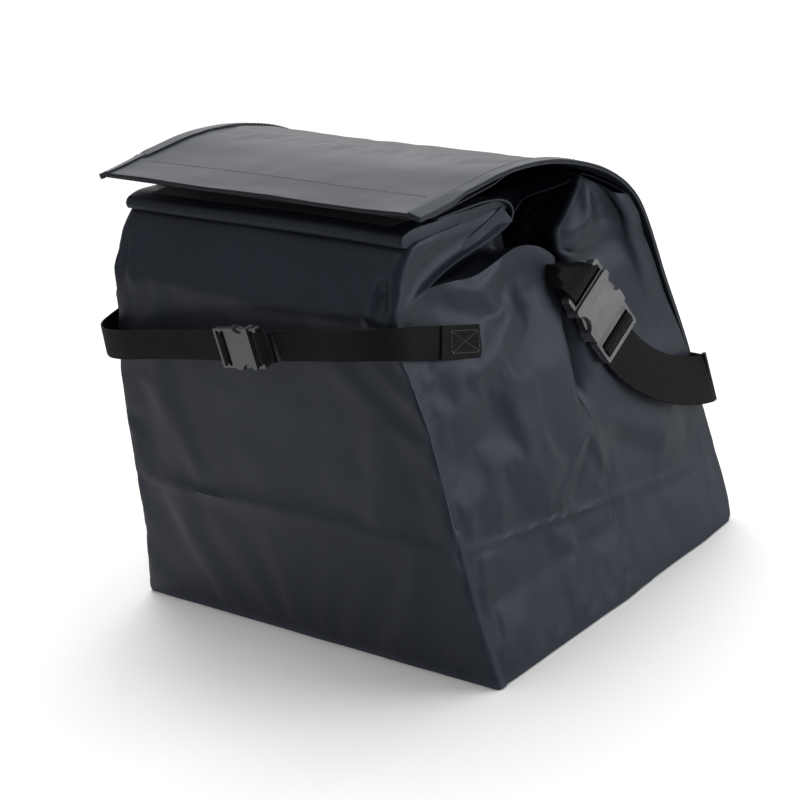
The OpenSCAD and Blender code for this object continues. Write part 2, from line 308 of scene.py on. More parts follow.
def drape(grid, hold, growth, cap, inward):
    """Lets the sheet settle by cloth simulation: it grows a little and buckles where it is free.

    hold is 1 where the cloth is sewn or stiff and near 0 where it may move. The sheet moves at
    most cap in all and at most inward into the bag.
    """
    rows, cols = grid.shape[:2]
    scene = bpy.context.scene
    piece = new_object("drape", grid.reshape(-1, 3), grid_faces(rows, cols).tolist())
    group = piece.vertex_groups.new(name="hold")
    levels = np.round(np.clip(hold, 0, 1).ravel(), 2)
    for level in np.unique(levels):
        group.add(np.flatnonzero(levels == level).tolist(), float(level), "REPLACE")
    cloth = piece.modifiers.new("cloth", "CLOTH")
    settings = cloth.settings
    for key, value in CLOTH_SETTINGS.items():
        setattr(settings, key, value)
    settings.shrink_min = -growth
    settings.shrink_max = -growth
    settings.effector_weights.gravity = 0
    cloth.point_cache.frame_start = 1
    cloth.point_cache.frame_end = SETTLING_FRAMES
    for number in range(1, SETTLING_FRAMES + 1):
        scene.frame_set(number)
    evaluated = piece.evaluated_get(bpy.context.evaluated_depsgraph_get())
    moved = np.zeros(rows * cols * 3, np.float32)
    evaluated.data.vertices.foreach_get("co", moved)
    shift = moved.reshape(rows, cols, 3) - grid
    scene.frame_set(1)
    mesh = piece.data
    bpy.data.objects.remove(piece)
    bpy.data.meshes.remove(mesh)
    out = normals(grid)
    depth = np.maximum(-np.sum(shift * out, axis=2, keepdims=True), 0)
    shift = shift + out * (depth - inward * np.tanh(depth / inward))
    size = np.linalg.norm(shift, axis=2, keepdims=True)
    return grid + shift * np.minimum(1, cap / np.maximum(size, 1e-9))


def held(grid, free, first_rows, last_rows, side_columns):
    """How firmly drape holds each point: free, but fully at the sewn borders."""
    hold = np.full(grid.shape[:2], free)
    hold[:first_rows] = hold[-last_rows:] = 1
    hold[:, :side_columns] = hold[:, -side_columns:] = 1
    return hold


# ---------- materials ----------

BAND_SCALE = 0.31416           # scale of a wave texture whose bands are 1 m apart


def principled(name):
    material = bpy.data.materials.new(name)
    material.use_nodes = True
    return material, material.node_tree, material.node_tree.nodes["Principled BSDF"]


def tune(node, **values):
    """Sets a node's properties and inputs: a value's name is a property or an input."""
    for key, value in values.items():
        if hasattr(node, key):
            setattr(node, key, value)
        else:
            node.inputs[key.replace("_", " ")].default_value = value
    return node


def add(tree, kind, **values):
    return tune(tree.nodes.new(kind), **values)


def join(tree, source, output, target, entry):
    tree.links.new(source.outputs[output], target.inputs[entry])


def ranged(tree, source, output, low, high, start=0.0, end=1.0):
    """Maps a value between start and end to low to high."""
    node = add(tree, "ShaderNodeMapRange", From_Min=start, From_Max=end, To_Min=low, To_Max=high)
    join(tree, source, output, node, "Value")
    return node


def threads(tree, coordinates, output, pitch, direction):
    """Bands across the given direction, one every pitch metres."""
    node = add(tree, "ShaderNodeTexWave", wave_type="BANDS", bands_direction=direction,
               wave_profile="SIN", Scale=BAND_SCALE / pitch)
    join(tree, coordinates, output, node, "Vector")
    return node


def bumped(tree, height, output, distance, strength, below=None):
    """Bump from a height, on top of the bump below."""
    node = add(tree, "ShaderNodeBump", Distance=distance, Strength=strength)
    join(tree, height, output, node, "Height")
    if below:
        join(tree, below, "Normal", node, "Normal")
    return node


def mixed(tree, factor, output, first, second):
    node = add(tree, "ShaderNodeMix", data_type="RGBA", A=first, B=second)
    join(tree, factor, output, node, "Factor")
    return node


def colour(r, g, b):
    return (r, g, b, 1)


def tarpaulin(name, dark, light, gloss):
    """Coated cloth: a faint weave under a satin coat, with uneven gloss and rubbed edges."""
    material, tree, shader = principled(name)
    place = add(tree, "ShaderNodeTexCoord")
    cloud = add(tree, "ShaderNodeTexNoise", Scale=11.0, Detail=4.0, Roughness=0.55)
    grain = add(tree, "ShaderNodeTexNoise", Scale=420.0, Detail=3.0, Roughness=0.6)
    dents = add(tree, "ShaderNodeTexNoise", Scale=38.0, Detail=2.0, Roughness=0.5)
    for node in (cloud, grain, dents):
        join(tree, place, "Object", node, "Vector")
    tint = mixed(tree, cloud, "Fac", colour(*dark), colour(*light))
    geometry = add(tree, "ShaderNodeNewGeometry")
    worn = ranged(tree, geometry, "Pointiness", 0.0, 0.5, 0.54, 0.72)
    rubbed = mixed(tree, worn, "Result", colour(0, 0, 0), colour(*[3.2 * c for c in light]))
    join(tree, tint, "Result", rubbed, "A")
    join(tree, rubbed, "Result", shader, "Base Color")
    rough = ranged(tree, cloud, "Fac", gloss - 0.07, gloss + 0.1)
    join(tree, rough, "Result", shader, "Roughness")
    warp = threads(tree, place, "UV", 1.1 * MM, "X")
    weft = threads(tree, place, "UV", 1.1 * MM, "Y")
    weave = add(tree, "ShaderNodeMath", operation="MULTIPLY")
    join(tree, warp, "Fac", weave, 0)
    join(tree, weft, "Fac", weave, 1)
    fine = bumped(tree, weave, "Value", 0.05 * MM, 0.35)
    skin = bumped(tree, grain, "Fac", 0.06 * MM, 0.3, fine)
    soft = bumped(tree, dents, "Fac", 0.5 * MM, 0.22, skin)
    join(tree, soft, "Normal", shader, "Normal")
    tune(shader, Specular_IOR_Level=0.26, Specular_Tint=colour(0.76, 0.86, 1.0))
    return material


def webbing(name, pitch):
    """Woven strap: ribs across it, fine warp threads along it."""
    material, tree, shader = principled(name)
    place = add(tree, "ShaderNodeTexCoord")
    ribs = threads(tree, place, "UV", pitch, "Y")
    warp = threads(tree, place, "UV", 0.9 * MM, "X")
    fuzz = add(tree, "ShaderNodeTexNoise", Scale=900.0, Detail=2.0)
    join(tree, place, "Object", fuzz, "Vector")
    tint = mixed(tree, ribs, "Fac", colour(0.0014, 0.0012, 0.0015), colour(0.0048, 0.0042, 0.0050))
    join(tree, tint, "Result", shader, "Base Color")
    rough = ranged(tree, fuzz, "Fac", 0.55, 0.85)
    join(tree, rough, "Result", shader, "Roughness")
    long_way = bumped(tree, warp, "Fac", 0.16 * MM, 0.5)
    cross_way = bumped(tree, ribs, "Fac", 0.35 * MM, 0.6, long_way)
    rough_skin = bumped(tree, fuzz, "Fac", 0.12 * MM, 0.3, cross_way)
    join(tree, rough_skin, "Normal", shader, "Normal")
    tune(shader, Specular_IOR_Level=0.12)
    return material


def moulded(name, base, gloss, grain_size):
    """Moulded plastic: slightly uneven gloss, fine grain and paler worn edges."""
    material, tree, shader = principled(name)
    place = add(tree, "ShaderNodeTexCoord")
    grain = add(tree, "ShaderNodeTexNoise", Scale=1 / grain_size, Detail=3.0)
    cloud = add(tree, "ShaderNodeTexNoise", Scale=70.0, Detail=3.0)
    for node in (grain, cloud):
        join(tree, place, "Object", node, "Vector")
    geometry = add(tree, "ShaderNodeNewGeometry")
    worn = ranged(tree, geometry, "Pointiness", 0.0, 1.0, 0.52, 0.66)
    tint = mixed(tree, worn, "Result", colour(*base), colour(*[3.5 * c for c in base]))
    join(tree, tint, "Result", shader, "Base Color")
    rough = ranged(tree, cloud, "Fac", gloss - 0.08, gloss + 0.12)
    join(tree, rough, "Result", shader, "Roughness")
    skin = bumped(tree, grain, "Fac", 0.04 * MM, 0.35)
    join(tree, skin, "Normal", shader, "Normal")
    tune(shader, Specular_IOR_Level=0.85)
    return material


def hook_and_loop(name):
    """Pile of a hook and loop tape."""
    material, tree, shader = principled(name)
    place = add(tree, "ShaderNodeTexCoord")
    pile = add(tree, "ShaderNodeTexVoronoi", Scale=1200.0)
    join(tree, place, "Object", pile, "Vector")
    tint = mixed(tree, pile, "Distance", colour(0.016, 0.016, 0.017), colour(0.004, 0.004, 0.004))
    join(tree, tint, "Result", shader, "Base Color")
    tune(shader, Roughness=0.9)
    bump = bumped(tree, pile, "Distance", 0.5 * MM, 0.9)
    join(tree, bump, "Normal", shader, "Normal")
    return material


CLOTH = tarpaulin("tarpaulin_navy", (0.0050, 0.0062, 0.0105), (0.0090, 0.0108, 0.0170), 0.46)
# The lid's copy of the tarpaulin has a paler, greyer base than the body's: painted sheen that stands in
# for the grazing reflection on the lid top.
LID_CLOTH_PAINTED_SHEEN = tarpaulin("tarpaulin_lid_painted_sheen", (0.0065, 0.0074, 0.0105), (0.011, 0.0125, 0.0165), 0.42)
LINING = tarpaulin("tarpaulin_inside", (0.012, 0.012, 0.015), (0.02, 0.02, 0.023), 0.6)
STRAP = webbing("webbing_wide", 1.75 * MM)
SMALL_STRAP = webbing("webbing_narrow", 1.5 * MM)
SMALL_BUCKLE = moulded("buckle_plastic_black", (0.007, 0.007, 0.008), 0.3, 0.5 * MM)
# Same near-black plastic as the hoop buckle and prongs, with a paler base: painted sheen that stands in
# for the glossy grey highlight on the side sockets and plugs.
BUCKLE_PAINTED_SHEEN = moulded("buckle_plastic_painted_sheen", (0.020, 0.021, 0.023), 0.26, 0.5 * MM)
PRONG = moulded("prong_plastic", (0.008, 0.008, 0.009), 0.28, 0.4 * MM)
BOARD = moulded("board_plastic", (0.03, 0.03, 0.032), 0.55, 1.2 * MM)
TAPE = hook_and_loop("hook_and_loop_tape")
THREAD = moulded("thread", (0.012, 0.012, 0.013), 0.6, 0.3 * MM)


# ---------- the bag's outlines, in millimetres ----------

# Half the bag's width at a height.
side_x = table([(0, 195), (32, 188.5), (60, 183), (96, 179), (115, 177), (171, 173), (211, 168),
                (244, 160), (265, 154), (298, 151), (345, 150)])
# The lower front swells past the base a little.
front_y = table([(0, 152.5), (5, 158), (20, 161), (40, 162.5), (70, 162), (100, 160), (112, 156.5),
                 (150, 154.8), (285, 121.3), (303, 112.4)])
# The fold in the gusset: where its rear half overhangs the front half.
fold_y = table([(0, 14), (100, 12), (142, 10), (169, 4), (203, 7), (231, 13), (251, 21), (285, 29)])
# Rear edge of the gusset's front half, above the fold's end and up to the lid.
brow_y = table([(0, 34), (276, 34), (298, 38), (306, 52), (321, 70), (334, 80)])
# The front half widens upwards to meet the lid's edge.
flare_x = table([(0, 0), (150, 0), (211, 2), (250, 11), (285, 18), (303, 19), (335, 10)])
# The nearly level crease above the base, at a place along the gusset.
crease_z = table([(-152, 114), (-100, 103), (-45, 93), (11, 82), (70, 70), (160, 58)])

# Seam on top of the shoulder, from the rear corner to the front end of the roll: (y, z).
SHOULDER_SEAM = [(-146, 301.5), (-124, 306.5), (-92, 314.5), (-72, 317), (-50, 318), (-30, 319.5),
                 (-9, 324)]
# Lower edge of the rolled collar along its end.
ROLL_FOOT = [(-124, 342.5), (-90, 340), (-50, 337), (-14, 335)]
# Upper side of the roll.
ROLL_TOP = [(-119, 355.8), (-90, 353.6), (-50, 348.8), (-20, 343.4)]
# Top of the front panel, under the lid.
FRONT_TOP = [(112.4, 303), (96.5, 319.5), (79, 332), (56, 331), (8, 325), (-6, 322)]


def bezier(a, b, c, d, t):
    return a * (1 - t)**3 + b * 3 * t * (1 - t)**2 + c * 3 * t * t * (1 - t) + d * t**3


def lid_line(count):
    """Middle line of the lid sheet from its rear edge over the crest and down to its sewn end."""
    top = LID_TOP / MM - 1
    t = np.linspace(0, 1, 40)[:, None]
    crest = bezier(np.array([-50, top]), np.array([25, top]), np.array([108, top - 37]),
                   np.array([124, top - 87]), t)
    line = np.concatenate([[[LID_REAR / MM, top], [-90, top + 0.2]], crest,
                           [[140, 220], [153, 170], [157.3, 150], [158, APRON_LOW / MM]]])
    return curve(line, count)


# ---------- tarpaulin ----------

def row_at(x, y, z):
    """Points with the given x, y and z, any of which may be one value for all of them."""
    return np.stack(np.broadcast_arrays(x, y, z), -1).astype(float)


def wrap_corner(row_y, row_z, half, radius, end):
    """One row of the rear panel: across the back, round the corner and on to end = (y, z)."""
    back = row_at(np.linspace(0, half - radius, 40), row_y, row_z)
    turn = np.radians(np.linspace(0, 90, 12)[1:])
    arc = row_at(half - radius + radius * np.sin(turn), row_y + radius * (1 - np.cos(turn)), row_z)
    run = np.linspace(0, 1, 23)[1:, None]
    side = arc[-1] + (np.array([half, end[0], end[1]]) - arc[-1]) * run
    return np.concatenate([back, arc, side])


def rear_panel():
    """The panel at the rider's side. Over the shoulder its ends wrap on to the sides."""
    shoulder = 300
    back_y = -HALF_D / MM + 0.8
    seam = curve(SHOULDER_SEAM, 26)
    rows = []
    for z in np.linspace(0.8, shoulder, 64):
        half = side_x(z) + 0.9
        radius = 3 + 2 * smooth(z, 250, shoulder)
        y = back_y + 1.2 * (1 - smooth(z, 0, 5))
        lap = y + radius + 4.5 - 2.5 * smooth(z, 270, shoulder)
        rows.append(wrap_corner(y, z, half, radius, (lap, z)))
    lean = curve([(back_y, shoulder), (-147, 314), (-137, 331), (-123, 344)], 27)[1:]
    for (y, z), end in zip(lean, seam):
        half = 152.4 - 1.5 * smooth(z, shoulder, 344)
        rows.append(wrap_corner(y, z, half, 5 + 5 * smooth(z, 303, 318), end))
    rows.append(wrap_corner(-118, 345, 149.5, 8, (-12, 337)))
    right = np.array(rows)
    grid = np.concatenate([mirrored(right)[:, :-1], right], 1)
    x, y, z = np.moveaxis(grid, 2, 0)
    flat = 1 - smooth(np.abs(x), 120, 150)
    push = 2.2 * np.sin(np.clip(z / shoulder, 0, 1) * np.pi) * flat
    push = push + crease(x, z, (-165, 116), (165, 112), 2.2, 0.9) * smooth(-y, 140, 150)
    push = push + crease(x, z, (-60, 292), (150, 300), 9, 1.6) * smooth(-y, 140, 150)
    for side in (1, -1):
        push = push + crease(side * x, z, (127, 292), (135, 330), 5, 2.6)
        push = push - crease(side * x, z, (142, 301), (138, 327), 7, 4.5)
    grid[..., 1] -= push
    # The shoulder is hollow between its flared edge and the roll.
    on_side = smooth(y, -142, -112) * smooth(z, 299, 304)
    above_seam = z - np.interp(y, *np.array(SHOULDER_SEAM).T)
    full = -3.4 * np.sin(np.clip(above_seam / 26, 0, 1) * np.pi)
    flare = 2.4 * np.exp(-((above_seam / 3.0) ** 2))
    grid[..., 0] += np.sign(x) * on_side * (full + flare)
    grid = grid * MM
    grid = drape(grid, held(grid, 0.08, 2, 8, 26), 0.0045, 3 * MM, 0.8 * MM)
    grid = relief(grid, 0.8 * MM, 70 * MM, 1)
    # The stiff board behind the panel stops it from going in.
    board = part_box("back_board")
    behind = (np.abs(grid[..., 0]) < board[1].x + 4 * MM) & (grid[..., 2] < board[1].z + 4 * MM)
    limit = np.where(behind, board[0].y - SHEET / 2 - 0.1 * MM, 1)
    grid[..., 1] = np.minimum(grid[..., 1], limit)
    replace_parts(sheet("rear_panel_sheet", grid, SHEET, CLOTH), "rear_panel")


def gusset_columns():
    """Key columns of the right gusset from the rear seam to the front seam.

    Each is (y at a height, offset from the bag's side at a height, height of its top, tuck),
    where tuck is how far the cloth goes on past its top edge, inwards, forwards and up.
    """
    def folded(z):
        return smooth(z, 150, 235)

    def full(z):
        return 3.0 + 1.5 * folded(z)

    def at(value):
        return lambda z: value

    def near_fold(open_gap, shut_gap):
        return lambda z: fold_y(z) + open_gap + (shut_gap - open_gap) * folded(z)

    def sunk(depth, swell=0.0):
        return lambda z: swell - (depth + swell) * folded(z)

    def front(share):
        return lambda z: front_y(z) - share * (front_y(z) - fold_y(z))

    def lipped(swell, top):
        return lambda z: swell + 2.2 * smooth(z, top - 26, top - 3)

    def over_brow(open_gap, shut_gap, past):
        return lambda z: (near_fold(open_gap, shut_gap)(z) * (1 - smooth(z, 268, 284))
                          + (brow_y(z) + past) * smooth(z, 268, 284))

    def flared(share, swell):
        return lambda z: swell + share * flare_x(z)

    return [
        (at(-149.5), at(-0.8), 302, (-2, 6, 2)),
        (at(-134), at(0.3), 304.5, (-3, 4, 5)),
        (at(-110), at(0.8), 308, (-8, 0, 7)),
        (at(-88), lipped(1.0, 305), 305, (-36, 0, 18)),
        (at(-62), lipped(1.5, 300), 300, (-44, 0, 24)),
        (at(-40), lipped(2.0, 301), 301, (-44, 0, 24)),
        (lambda z: -27 + 19 * smooth(z, 200, 300), lipped(2.0, 303), 303, (-44, -2, 24)),
        (lambda z: fold_y(z) - 24 + 4 * smooth(z, 200, 300), lipped(2.5, 297), 297, (-40, -10, 26)),
        (near_fold(-8, -5), full, 285, (-42, -14, 32)),
        (near_fold(0, 0), full, 280, (-42, -14, 36)),
        (near_fold(6, -3), sunk(11, 3), 282, (-38, -12, 36)),
        (over_brow(12, -13, 7), sunk(32, 2.5), 322, (-8, 0, 6)),
        (over_brow(17, -5, 9), sunk(26, 2.5), 325, (-8, 0, 6)),
        (over_brow(25, 6, 3), sunk(9, 2.5), 330, (-6, 0, 2)),
        (over_brow(33, 17, 0), flared(0.0, 1.8), 330, (-5, 0, 2)),
        (over_brow(52, 38, 5), flared(0.12, 1.5), 327, (-4, 0, 1)),
        (lambda z: front_y(z) * 0.38 + 58 - 9 * smooth(z, 296, 318), flared(0.5, 2.0), 317, (-4, 0, 0)),
        (front(0.16), flared(0.85, 1.0), 309, (-4, 0, 0)),
        (lambda z: front_y(z) - 0.6, flared(1.0, -0.4), 303, (-4, 0, 0)),
    ]


# Ridges and valleys of the gusset: start and end as (y, z), width and height.
GUSSET_CREASES = [
    # a wide hollow across the rear half, and fuller cloth above it
    ((-146, 166), (-60, 204), 24, -5.0),
    ((-120, 240), (-20, 262), 26, 3.0),
    # the fan from the lower end of the fold
    ((12, 150), (-36, 102), 5, 2.0),
    ((10, 138), (-20, 98), 7, -1.6),
    ((11, 152), (24, 104), 6, 1.2),
    ((30, 150), (120, 92), 13, 2.2),
    ((28, 136), (86, 90), 9, -1.4),
    # soft waves on the rear half
    ((-60, 132), (-140, 122), 14, -1.2),
    ((-20, 268), (-95, 226), 12, 1.6),
    # the pinch under the lid's crest
    ((80, 326), (68, 288), 5, 2.6),
    ((90, 318), (88, 284), 7, -1.6),
    # the strap presses in below the buckle
    ((66, 238), (130, 166), 24, -4.0),
]


def gusset(seed):
    """Grid of the right gusset: folded inwards along its middle, above the waist."""
    height = np.linspace(0, 1, 88)
    reach = np.linspace(0, 1, 13)[1:]
    inwards, up = smooth(reach, 0, 0.65), smooth(reach, 0.45, 1)
    columns = []
    for y_at, offset_at, top, tuck in gusset_columns():
        z = 0.8 + (top - 0.8) * height
        body = row_at(side_x(z) + offset_at(z), y_at(z), z)
        dip = 0.26 * tuck[0] * inwards * (1 - up)
        tail = body[-1] + np.stack([tuck[0] * inwards, tuck[1] * reach, tuck[2] * up + dip], 1)
        columns.append(np.concatenate([body, tail]))
    grid = loft(columns, 2.5)
    y, z = np.moveaxis(grid, 2, 0)[1:]
    line = crease_z(y)
    push = 1.1 * np.exp(-(((z - line) / 2.0) ** 2)) * smooth(-y, -150, -100)
    rear_half = smooth(y, -150, -90) * (1 - smooth(y, -10, 50))
    push = push + 3.5 * np.sin(np.clip((z - line) / 150, 0, 1) * np.pi) * rear_half
    for start, end, width, ridge in GUSSET_CREASES:
        push = push + crease(y, z, start, end, width, ridge)
    fade = smooth(z, 0, 14)
    grid = grid + normals(grid) * (push * fade)[..., None]
    grid = grid * MM
    folded = smooth(z, 130, 175) * (1 - smooth(np.abs(y - fold_y(z)), 24, 44))
    hold = np.maximum(held(grid, 0.06, 3, len(reach), 4), folded)
    soft = relief(drape(grid, hold, 0.0065, 4 * MM, 3 * MM), 0.9 * MM, 70 * MM, seed)
    # The strap and the lid keep the front half flatter.
    calm = smooth(y, 8, 40) * (0.55 + 0.25 * smooth(z, 120, 160))
    return soft + (grid - soft) * calm[..., None]


def gussets():
    """The left one repeats the right one, with other wrinkles."""
    for side, grid in (("right", gusset(2)), ("left", mirrored(gusset(5)))):
        piece = sheet(f"side_gusset_{side}_sheet", grid, SHEET, CLOTH)
        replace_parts(piece, "side_gusset_" + side)


def shoulder_edges():
    """The next turn of cloth, which shows as a second edge inside the shoulder's own edge."""
    y, z = curve([(-70, 323), (-52, 325), (-30, 329.5), (-13, 334)], 30).T
    path = row_at(150.4 - 2.2 * (1 - smooth(y, -70, -46)), y, z) * MM
    across = unit(np.tile([-0.5, 0.1, 1.0], (len(path), 1)))
    grid = outward(ribbon(path, across, 7 * MM, 5), np.array([1.0, 0, 0]))
    sheet("shoulder_edge_right", grid, 1.3 * MM, CLOTH, edge=0.3 * MM)
    sheet("shoulder_edge_left", mirrored(grid), 1.3 * MM, CLOTH, edge=0.3 * MM)


def front_panel():
    """The panel away from the rider, under the lid's apron above the strap."""
    # Behind the crest it narrows to reach between the folded gussets.
    top_half = table([(-10, 119), (42, 120), (58, 134), (76, 149), (90, 155), (112, 168)])
    crest_y = 109
    low = [(front_y(z), z) for z in (0.8, 5, 12, 25, 45, 70, 90, 104, 116, 150, 200, 250, 285)]
    rows = []
    for y, z in curve(low + FRONT_TOP, 90):
        half = side_x(z) + flare_x(z) - 0.9 if y > crest_y else top_half(y)
        rows.append(row_at(np.linspace(half, -half, 80), y - 0.4, z))
    grid = np.array(rows)
    x, y, z = np.moveaxis(grid, 2, 0)
    middle = np.cos(np.clip(x / 195, -1, 1) * np.pi / 2)
    grid[..., 1] += 2.5 * middle * np.exp(-(((z - 55) / 42) ** 2))
    grid[..., 2] -= 5.0 * middle * smooth(z, 300, 325) * smooth(-y, -110, -60)
    # Behind the crest its sides hang down between the gussets' folds.
    share = np.abs(x) / np.abs(x).max(axis=1, keepdims=True)
    hang = 8 * (1 - smooth(y, 30, 50)) + 6 * (1 - smooth(y, 68, 84))
    grid[..., 2] -= smooth(share, 0.84, 1.0) * hang * smooth(z, 310, 322)
    grid = grid * MM
    # Only its lower part moves; the strap and the lid keep the rest flat.
    free_rows = 35
    hold = held(grid, 0.08, 3, len(grid) - free_rows, 3)
    grid = drape(grid, hold, 0.006, 3 * MM, 1.5 * MM)
    grid[:free_rows + 1] = relief(grid, 0.8 * MM, 65 * MM, 3)[:free_rows + 1]
    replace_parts(sheet("front_panel_sheet", grid, SHEET, CLOTH), "front_panel")


def base_panel():
    """The underside: one flat sheet between the side panels, with slight ripples upwards."""
    x, y = np.meshgrid(np.linspace(-1, 1, 60), np.linspace(1, -1, 50))
    inset = 1.6 * MM
    middle = 0.9 * MM
    grid = row_at(x * (HALF_W - inset), y * (HALF_D - inset), middle)
    ripple = relief(grid, 0.4 * MM, 90 * MM, 8)[..., 2]
    grid[..., 2] += np.clip(ripple - middle, 0, 0.5 * MM)
    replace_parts(sheet("base_panel_sheet", grid, SHEET, LINING), "base_panel")


def roll_wave(x):
    """How much the roll's upper side rises and falls along it."""
    return 0.9 * np.sin(x * 0.021 + 0.6)


def rolled_collar():
    """The mouth of the bag, rolled flat: a wedge-shaped loop, thicker at the rear, plus a nose."""
    foot = curve(ROLL_FOOT, 30) + [0, 0.9]
    rear = [(-125.8, 346), (-127, 350), (-125, 354)]
    nose = [(-12, 340.8), (-6.5, 337.5), (-5.5, 333.5), (-7, 331.5), (-13, 333.5)]
    outline = np.concatenate([curve(rear + ROLL_TOP + nose, 84), foot[::-1][1:-1]])
    outline = resample(np.concatenate([outline, outline[:1]]), 97)[:-1]
    middle = outline.mean(0)
    # Each end is rounded off: (place along the roll, size of the loop there).
    inset = [(-1.0, 0.80), (-0.6, 0.93), (0.2, 0.985), (1.4, 1.0)]
    half = HALF_ROLL / MM
    along = [(-half + 2.2 + d, s) for d, s in inset]
    along += [(x, 1.0) for x in np.linspace(-half + 14, half - 14, 60)]
    along += [(-x, s) for x, s in along[:4][::-1]]
    rings = []
    for x, s in along:
        shift = middle + (outline - middle) * [1 - (1 - s) * 0.15, s]
        wave = roll_wave(x) * smooth(outline[:, 1], 342, 348)
        rings.append(row_at(x, shift[:, 0], shift[:, 1] + wave * s))
    rings = np.array(rings) * MM
    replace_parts(tube("rolled_collar_roll", rings, CLOTH), "rolled_collar")

    # The outermost layer comes round the front of the roll and back down to the shoulder seam.
    wrap = curve([(-87, 354.6), (-60, 352.0), (-28, 347.4), (-14, 343), (-6, 336.5), (-4.4, 331),
                  (-6, 326.5), (-11, 323.2), (-24, 320.4), (-40, 318.8)], 56)
    x = np.linspace(-half - 2.2, half + 2.2, 60)
    grid = np.stack([row_at(x, y, z) for y, z in wrap]) * MM
    grid = relief(grid, 0.5 * MM, 60 * MM, 6)
    sheet("rolled_collar_outer_layer", grid, 1.9 * MM, CLOTH)

    # The loop tape is sewn along the roll's upper side, under the lid's hook tape.
    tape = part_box("collar_loop_tape")
    x = np.linspace(tape[0].x, tape[1].x, 60) / MM
    y = np.linspace(tape[1].y, tape[0].y, 8)[:, None] / MM
    grid = row_at(x, y, table(ROLL_TOP)(y) + roll_wave(x) + 0.7) * MM
    piece = sheet("collar_loop_tape_strip", grid, 1.6 * MM, TAPE, edge=0.3 * MM)
    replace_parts(piece, "collar_loop_tape")


def lid_surface(u, v):
    """Points of the lid sheet: u across it from -1 to 1, v along it from 0 to 1."""
    line = lid_line(400)
    last = len(line) - 1
    y, z = np.moveaxis(points_at(v * last, np.arange(last + 1), line), -1, 0)
    grid = row_at(u * HALF_LID / MM, y, z)
    edge = np.abs(u)
    # Slack between the rear edge and the crest, drooping rear corners, a slightly wavy edge.
    slack = -1.6 * (1 - edge**2) * np.sin(np.clip((y + 50) / 140, 0, 1) * np.pi)
    corner = -3.2 * smooth(edge, 0.925, 1.01) * (1 - smooth(y, -92, -74))
    wave = 0.6 * np.sin(u * 7.0 + 0.8) * (1 - smooth(y, -127, -110))
    grid[..., 2] += (slack + corner + wave) * (1 - smooth(y, 90, 120))
    return grid


def lid():
    """One sheet over the top and down the front; it bends at the front crest."""
    rows, cols = 150, 90
    # Rows in the doubled rear part, up to the crest, and up to where the waves have died out.
    doubled, crest, calm = 35, 75, 100
    v, u = np.meshgrid(np.linspace(0, 1, rows), np.linspace(-1, 1, cols), indexing="ij")
    grid = lid_surface(u, v) * MM
    grid = drape(grid, held(grid, 0.1, doubled, rows - crest, 3), 0.0025, 1.6 * MM, 0.8 * MM)
    waves = relief(grid, 0.7 * MM, 85 * MM, 4)[:calm]
    grid[:calm] = waves + (grid[:calm] - waves) * np.linspace(0, 1, calm)[:, None, None]**3
    # The board in the doubled part holds the sheet up.
    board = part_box("lid_board")
    over = (np.abs(grid[..., 0]) < board[1].x + 2 * MM) & (grid[..., 1] < board[1].y + 2 * MM)
    grid[..., 2] = np.maximum(grid[..., 2], np.where(over, board[1].z + 1.05 * MM, 0))
    piece = sheet("lid_sheet", grid, 1.9 * MM, LID_CLOTH_PAINTED_SHEEN, body=None)
    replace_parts(piece, "lid_flap", "front_apron")
    fold_lid(piece)
    above = normals(grid)

    # Folded hems lie on the sheet: along both sides and along the rear edge.
    def hem(name, part, lift, thickness):
        cut = (grid + above * lift)[part]
        fold_lid(sheet(name, cut, thickness, LID_CLOTH_PAINTED_SHEEN, body=None, edge=0.3 * MM))

    hem("lid_hem_right", np.s_[:, -4:], 1.75 * MM, 1.5 * MM)
    hem("lid_hem_left", np.s_[:, :4], 1.75 * MM, 1.5 * MM)
    hem("lid_hem_rear", np.s_[:13, 3:-3], 1.6 * MM, 1.2 * MM)
    hem("lid_corner_right", np.s_[:15, -4:], 3.0 * MM, 1.2 * MM)
    hem("lid_corner_left", np.s_[:15, :4], 3.0 * MM, 1.2 * MM)
    runs = [((grid + above * lift)[line], above[line])
            for line, lift in ((np.s_[15:, -4], 2.55 * MM), (np.s_[15:, 3], 2.55 * MM),
                               (np.s_[11, 5:-5], 2.25 * MM))]
    fold_lid(stitches("lid_hem_stitching", runs, THREAD, None, radius=0.25 * MM))

    # The lining is the lower layer of the doubled part, and carries the hook tape.
    low = grid[:doubled].copy()
    row = np.arange(doubled)[:, None]
    drop = 1.8 * MM + 3.5 * MM * smooth(row, 0, 6)
    sewn = smooth(row, doubled - 8, doubled - 1)
    low[..., 2] = (LID_TOP - 1 * MM - drop) * (1 - sewn) + (low[..., 2] - 1.6 * MM) * sewn
    low[..., 0] *= 0.985
    low[..., 1] += 1.2 * MM
    fold_lid(sheet("lid_lining", low, 1.1 * MM, LINING, body=None))


def fold_lid(piece):
    """Bakes a piece of the lid's placement into its mesh."""
    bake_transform(piece)


# ---------- buckles and webbing ----------

def buckle_frame(rear_joint, front_joint, scale):
    """Placing function and axes of a buckle's own frame, from its two prong hinges.

    Its origin is the socket's mouth, x towards the socket, y across the strap, z out of the bag.
    """
    by_name = {joint["name"]: joint for joint in frame["joints"]}
    rear, front = by_name[rear_joint], by_name[front_joint]
    a, b = np.array(rear["pos_m"]), np.array(front["pos_m"])
    y = unit(a - b)
    z = unit(np.array(front["axis"]))
    x = np.cross(y, z)
    hinge_x = 1.6 * MM
    origin = (a + b) / 2 - x * hinge_x * scale

    def place(points):
        p = np.asarray(points, float) * MM * scale
        return origin + p[..., 0:1] * x + p[..., 1:2] * y + p[..., 2:3] * z

    return place, x, y, z


